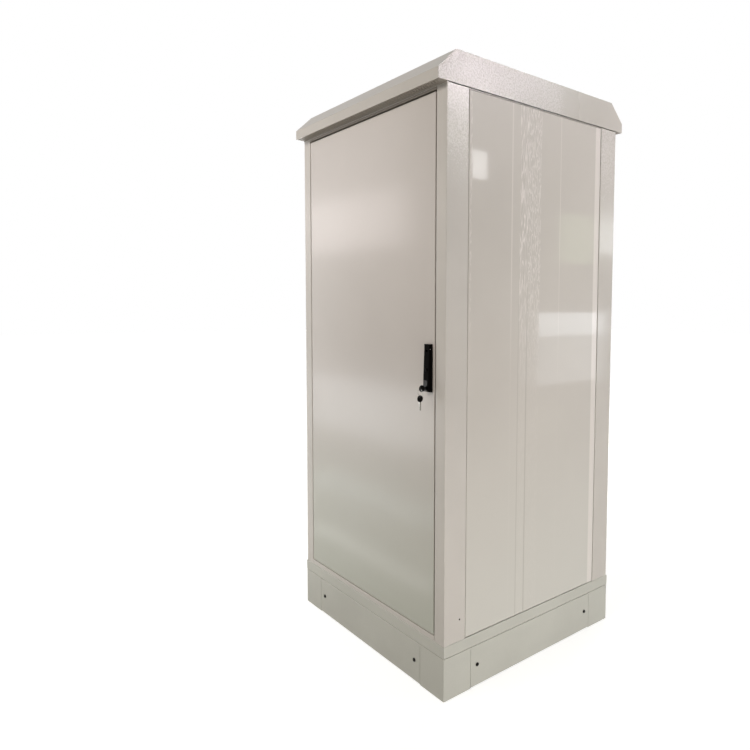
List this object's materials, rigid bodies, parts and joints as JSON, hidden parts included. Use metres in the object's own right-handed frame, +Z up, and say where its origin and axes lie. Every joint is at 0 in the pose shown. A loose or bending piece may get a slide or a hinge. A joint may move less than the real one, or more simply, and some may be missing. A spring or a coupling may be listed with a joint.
{
  "type": "roadside utility cabinet",
  "caption": "Floor-standing outdoor equipment cabinet of folded sheet steel on a plinth, with a vented sloping-eaves roof, flush hinged door with rod lock, and rack rails inside.",
  "frame": {"origin": "centre of the anchor bolt pattern on the underside of the plinth, which is the centre of the plan on the ground", "axes": "+Z up, front with the door towards -Y, +X to the right of someone who faces the door"},
  "size_m": [0.907, 0.9841, 2.085],
  "materials": {
    "body_paint": "textured light grey powder coat on the posts, rails and frame",
    "plinth_paint": "textured light grey powder coat on the plinth",
    "roof_paint": "coarse textured light grey powder coat on the roof",
    "door_paint": "satin light grey powder coat on the door",
    "side_panel_paint": "light grey powder coat under clear protective film",
    "zinc_sheet": "spangled zinc-coated sheet",
    "zinc_steel": "zinc-plated steel",
    "black_screw": "black zinc-plated screw",
    "black_plastic": "grained black plastic",
    "black_lever": "black powder-coated die casting",
    "lock_metal": "plated lock cylinder",
    "key_metal": "nickel-plated key steel",
    "seal_rubber": "black foam rubber",
    "copper": "bare copper bar",
    "insulator_plastic": "red moulded insulator"
  },
  "bodies": {
    "cabinet": {"plinth_legs": "plinth_paint", "plinth_cover_front": "plinth_paint", "plinth_cover_right": "plinth_paint", "plinth_cover_rear": "plinth_paint", "plinth_cover_left": "plinth_paint", "plinth_screws": "black_screw", "base_rails": "body_paint", "floor_plate_front": "zinc_sheet", "floor_plate_rear": "zinc_sheet", "cable_slot_edges": "seal_rubber", "post_front_right": "body_paint", "post_front_left": "body_paint", "post_rear_right": "body_paint", "post_rear_left": "body_paint", "headers": "body_paint", "sills": "body_paint", "door_frame": "body_paint", "panel_seals": "seal_rubber", "side_panel_right": "side_panel_paint", "side_panel_left": "side_panel_paint", "side_stiffeners": "zinc_sheet", "rear_panel": "side_panel_paint", "top_plate": "zinc_sheet", "hole_plugs": "black_plastic", "roof_hood": "roof_paint", "roof_supports": "zinc_sheet", "eaves_vent_front": "roof_paint", "eaves_vent_rear": "roof_paint", "hinge_frame_arms": "zinc_steel", "hinge_pins": "zinc_steel", "depth_rails": "zinc_sheet", "cross_bars": "zinc_sheet", "rack_uprights_front": "zinc_sheet", "rack_uprights_rear": "zinc_sheet", "earth_bar": "copper", "earth_insulators": "insulator_plastic"},
    "door": {"door_panel": "door_paint", "door_returns": "door_paint", "door_inner_frame": "door_paint", "door_gasket": "seal_rubber", "hinge_door_leaves": "zinc_steel", "lock_plate": "black_plastic", "lock_clamp_plate": "zinc_steel", "lock_screws": "zinc_steel", "rod_guides": "black_plastic"},
    "handle_hub": {"handle_hub": "black_lever", "lock_cam": "zinc_steel"},
    "handle_lever": {"handle_lever": "black_lever", "lever_pin": "zinc_steel", "lock_cylinder": "lock_metal"},
    "release_button": {"release_button": "black_plastic"},
    "lock_plug": {"lock_plug": "lock_metal", "key_blade": "key_metal", "key_bow": "black_plastic"},
    "key_ring": {"key_ring": "key_metal", "spare_key_bow": "black_plastic", "spare_key_blade": "key_metal"},
    "upper_rod": {"lock_rod_upper": "zinc_steel"},
    "lower_rod": {"lock_rod_lower": "zinc_steel"}
  },
  "joints": [
    {"name": "door_hinge", "type": "hinge", "parent": "cabinet", "child": "door", "pos_m": [-0.385, -0.441, 1.083], "axis": [0, 0, -1], "range_deg": [0, 105]},
    {"name": "handle_turn", "type": "hinge", "parent": "door", "child": "handle_hub", "pos_m": [0.371, -0.457, 1.152], "axis": [0, 1, 0], "range_deg": [0, 90]},
    {"name": "handle_lift", "type": "hinge", "parent": "handle_hub", "child": "handle_lever", "pos_m": [0.371, -0.4575, 1.152], "axis": [-1, 0, 0], "range_deg": [0, 40]},
    {"name": "button_press", "type": "slide", "parent": "handle_lever", "child": "release_button", "axis": [0, 1, 0], "range_m": [0, 0.0025], "stiffness_N_per_m": 400},
    {"name": "key_turn", "type": "hinge", "parent": "handle_lever", "child": "lock_plug", "pos_m": [0.371, -0.467, 1.025], "axis": [0, 1, 0], "range_deg": [0, 90]},
    {"name": "key_ring_swing", "type": "hinge", "parent": "lock_plug", "child": "key_ring", "pos_m": [0.371, -0.4881, 1.0239], "axis": [1, 0, 0], "range_deg": [-30, 20]},
    {"name": "upper_rod_slide", "type": "slide", "parent": "door", "child": "upper_rod", "axis": [0, 0, -1], "range_m": [0, 0.0181]},
    {"name": "lower_rod_slide", "type": "slide", "parent": "door", "child": "lower_rod", "axis": [0, 0, 1], "range_m": [0, 0.0181]}
  ],
  "couplings": [
    {"joint": "upper_rod_slide", "follows": "handle_turn", "m_per_rad": 0.011459},
    {"joint": "lower_rod_slide", "follows": "handle_turn", "m_per_rad": 0.011459}
  ]
}
